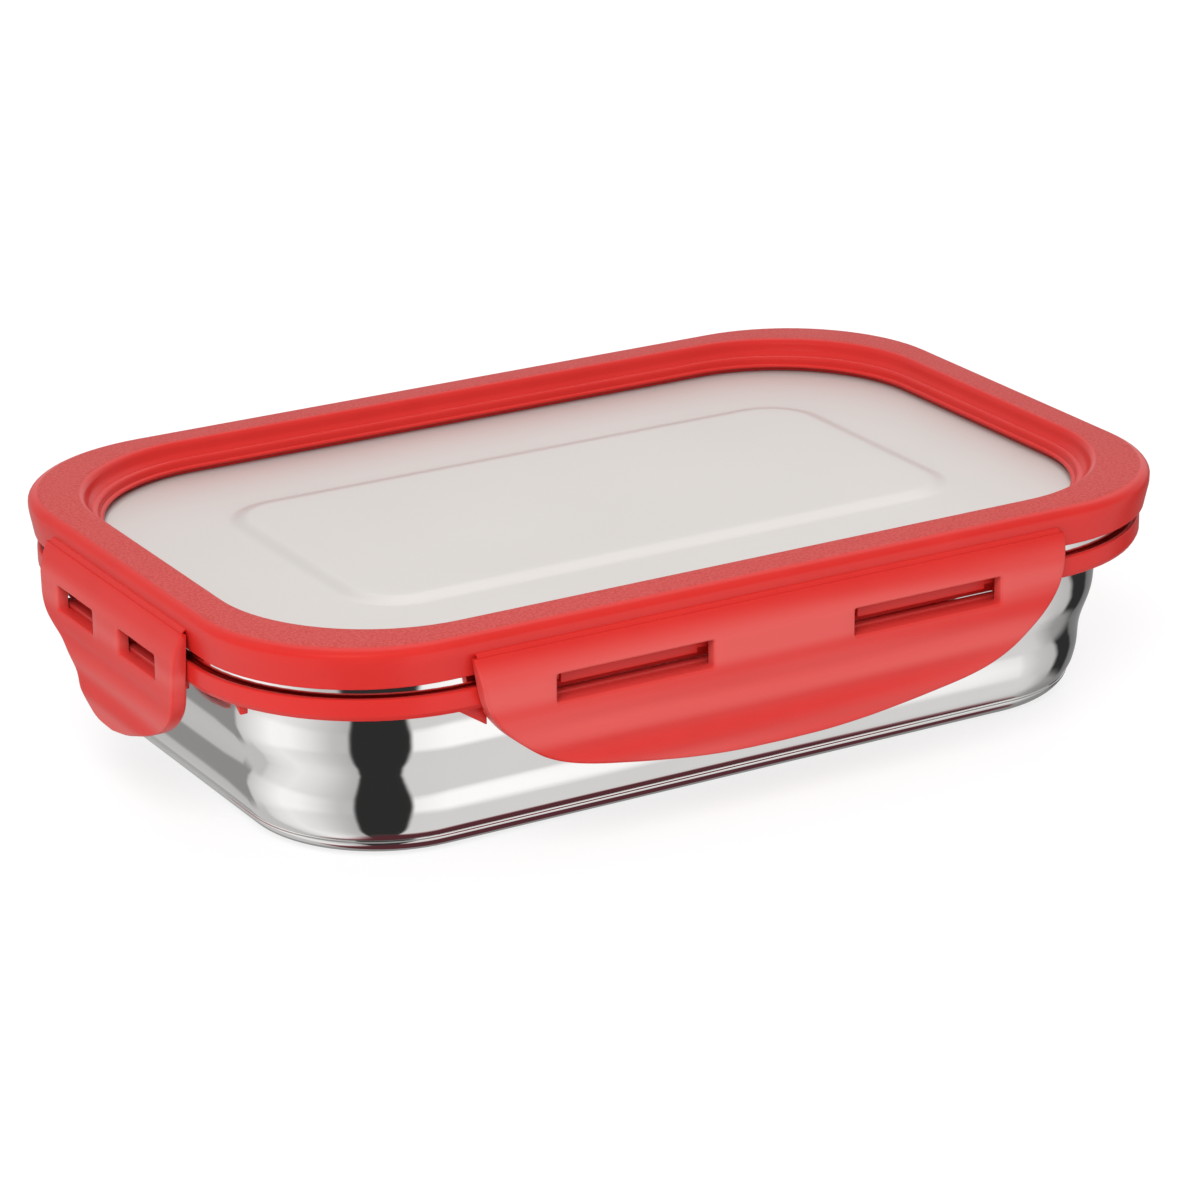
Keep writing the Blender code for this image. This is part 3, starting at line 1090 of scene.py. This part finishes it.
# How bright the room looks in a mirror, by direction: 0 degrees is straight out from the
# box's front and 90 is out from its right side. Each list is for one range of heights.
LOW_ROOM = (
    (-180, 0.56),
    (-164, 0.56),
    (-162.5, 0.30),
    (-153, 0.30),
    (-150, 0.66),
    (-133, 0.86),
    (-112, 1.12),
    (-95, 1.10),
    (-78, 0.90),
    (-60, 0.62),
    (-49, 0.58),
    (-46, 0.03),
    (-2, 0.03),
    (1, 1.05),
    (30, 1.18),
    (38, 1.05),
    (46, 0.80),
    (60, 0.64),
    (80, 0.54),
    (86, 0.03),
    (106, 0.03),
    (111, 0.18),
    (130, 0.26),
    (150, 0.60),
    (180, 0.42),
)
STEEP_ROOM = (
    (-180, 0.60),
    (-141, 0.60),
    (-136, 0.76),
    (-125, 0.88),
    (-108, 0.98),
    (-85, 0.84),
    (-60, 0.60),
    (-49, 0.52),
    (-46, 0.03),
    (-3, 0.03),
    (1, 0.74),
    (48, 0.76),
    (62, 0.70),
    (84, 0.36),
    (110, 0.26),
    (140, 0.28),
    (180, 0.34),
)
HIGH_ROOM = (
    (-180, 0.55),
    (-140, 0.45),
    (-60, 0.20),
    (60, 0.20),
    (110, 0.60),
    (130, 0.96),
    (160, 0.96),
    (175, 0.60),
    (180, 0.55),
)
CEILING = (
    (-180, 0.60),
    (-100, 0.45),
    (60, 0.35),
    (100, 0.9),
    (125, 1.7),
    (160, 1.7),
    (180, 0.60),
)


def make_world():
    """An even white room whose mirror image has dark cards, a dim ceiling and grey walls."""
    world = bpy.data.worlds.new("studio")
    bpy.context.scene.world = world
    world.use_nodes = True
    nodes = Nodes(world.node_tree)

    direction = nodes.split(nodes.add("ShaderNodeTexCoord").outputs["Generated"])
    height = direction["Z"]
    forward = nodes.math("MULTIPLY", direction["Y"], -1.0)
    azimuth = nodes.math("ARCTAN2", direction["X"], forward)
    turn = nodes.math("MULTIPLY_ADD", azimuth, 1 / math.tau, 0.5)
    low, steep, high, top = (
        by_turn(nodes, turn, stops) for stops in (LOW_ROOM, STEEP_ROOM, HIGH_ROOM, CEILING)
    )

    across = nodes.math(
        "ADD", nodes.math("POWER", forward, 2.0), nodes.math("POWER", height, 2.0)
    )
    fall = nodes.math("DIVIDE", height, nodes.math("SQRT", across))
    under = nodes.math(
        "MULTIPLY", nodes.ramp(fall, -0.91, -0.955), nodes.ramp(height, -0.80, -0.84)
    )
    under = nodes.math("MULTIPLY", under, nodes.ramp(direction["X"], -0.30, -0.10))
    steep = nodes.blend(under, steep, NADIR)
    below = nodes.blend(nodes.ramp(height, -0.60, -0.50), steep, low)
    above = nodes.blend(nodes.ramp(height, 0.5, 0.62), high, top)
    room = nodes.blend(nodes.ramp(height, -0.08, 0.12), below, above)

    path = nodes.add("ShaderNodeLightPath").outputs
    seen = nodes.blend(path["Is Diffuse Ray"], 1.0, AMBIENT)
    seen = nodes.blend(path["Is Glossy Ray"], seen, room)
    background = world.node_tree.nodes["Background"].inputs
    nodes.feed(background["Color"], nodes.mix(under, (1.0, 1.0, 1.0, 1), MAROON))
    nodes.feed(background["Strength"], seen)


def by_turn(nodes, turn, stops):
    """A brightness that follows (degrees, level) stops round the room; turn runs 0 to 1."""
    node = nodes.add("ShaderNodeValToRGB")
    nodes.feed(node.inputs[0], turn)
    elements = node.color_ramp.elements
    while len(elements) > 1:
        elements.remove(elements[-1])
    for index, (degrees, level) in enumerate(stops):
        position = (degrees + 180) / 360
        element = elements[0] if index == 0 else elements.new(position)
        element.position = position
        element.color = (level / 2, level / 2, level / 2, 1)
    return nodes.math("MULTIPLY", node.outputs[0], 2.0)


def make_floor():
    """A pale floor, partly lit from within, that mirrors don't show."""
    shader = Shader("floor_paint")
    cloud = shader.noise(3.0, 2.0, 0.5)
    shader.set(
        Base_Color=shader.mix(cloud, (0.28, 0.28, 0.28, 1), (0.30, 0.30, 0.30, 1)),
        Roughness=0.6,
        Emission_Color=(1.0, 1.0, 1.0, 1),
        Emission_Strength=0.74,
    )
    shape = bmesh.new()
    bmesh.ops.create_grid(shape, x_segments=2, y_segments=2, size=3000.0)
    bmesh.ops.translate(shape, vec=(0, 0, -0.05), verts=shape.verts)
    floor = finish_mesh("studio_floor", shape, shader.material)
    floor.visible_glossy = False


def make_lamp(target):
    """One soft round lamp, up to the left of the camera."""
    key = bpy.data.lights.new("key", "AREA")
    key.shape = "DISK"
    key.size = 0.7
    key.energy = 9.0
    lamp = bpy.data.objects.new("key", key)
    bpy.context.scene.collection.objects.link(lamp)
    lamp.location = Vector((-0.55, -0.62, 0.9))
    lamp.rotation_euler = (target - lamp.location).to_track_quat("-Z", "Y").to_euler()
    lamp.visible_glossy = False


CAMERA_ANGLES = (-30.28, 18.74, -0.5)  # azimuth, elevation and roll in degrees
CAMERA_DISTANCE = 0.8148


def make_camera(target):
    """The camera, and plain colours without a film look."""
    azimuth, elevation, roll = (math.radians(angle) for angle in CAMERA_ANGLES)
    away = Vector(
        (
            math.sin(azimuth) * math.cos(elevation),
            -math.cos(azimuth) * math.cos(elevation),
            math.sin(elevation),
        )
    )
    lens = bpy.data.cameras.new("camera")
    camera = bpy.data.objects.new("camera", lens)
    bpy.context.scene.collection.objects.link(camera)
    camera.location = target + away * CAMERA_DISTANCE
    look = (-away).to_track_quat("-Z", "Y").to_matrix().to_4x4()
    turned = look @ Matrix.Rotation(roll, 4, "Z")
    camera.matrix_world = Matrix.Translation(camera.location) @ turned
    lens.sensor_width = 36.0
    lens.lens = 134.5
    lens.shift_x = 0.00675
    lens.shift_y = -0.1074
    lens.clip_start = 0.01
    bpy.context.scene.camera = camera
    bpy.context.scene.view_settings.view_transform = "Standard"


make_tub()
make_collar()
make_lid_frame()
make_plate()
make_retainer()
make_seal()
make_latches()

lid_centre = Vector((0, 0, LID_TOP * MM))
make_floor()
make_world()
make_lamp(lid_centre)
make_camera(lid_centre)
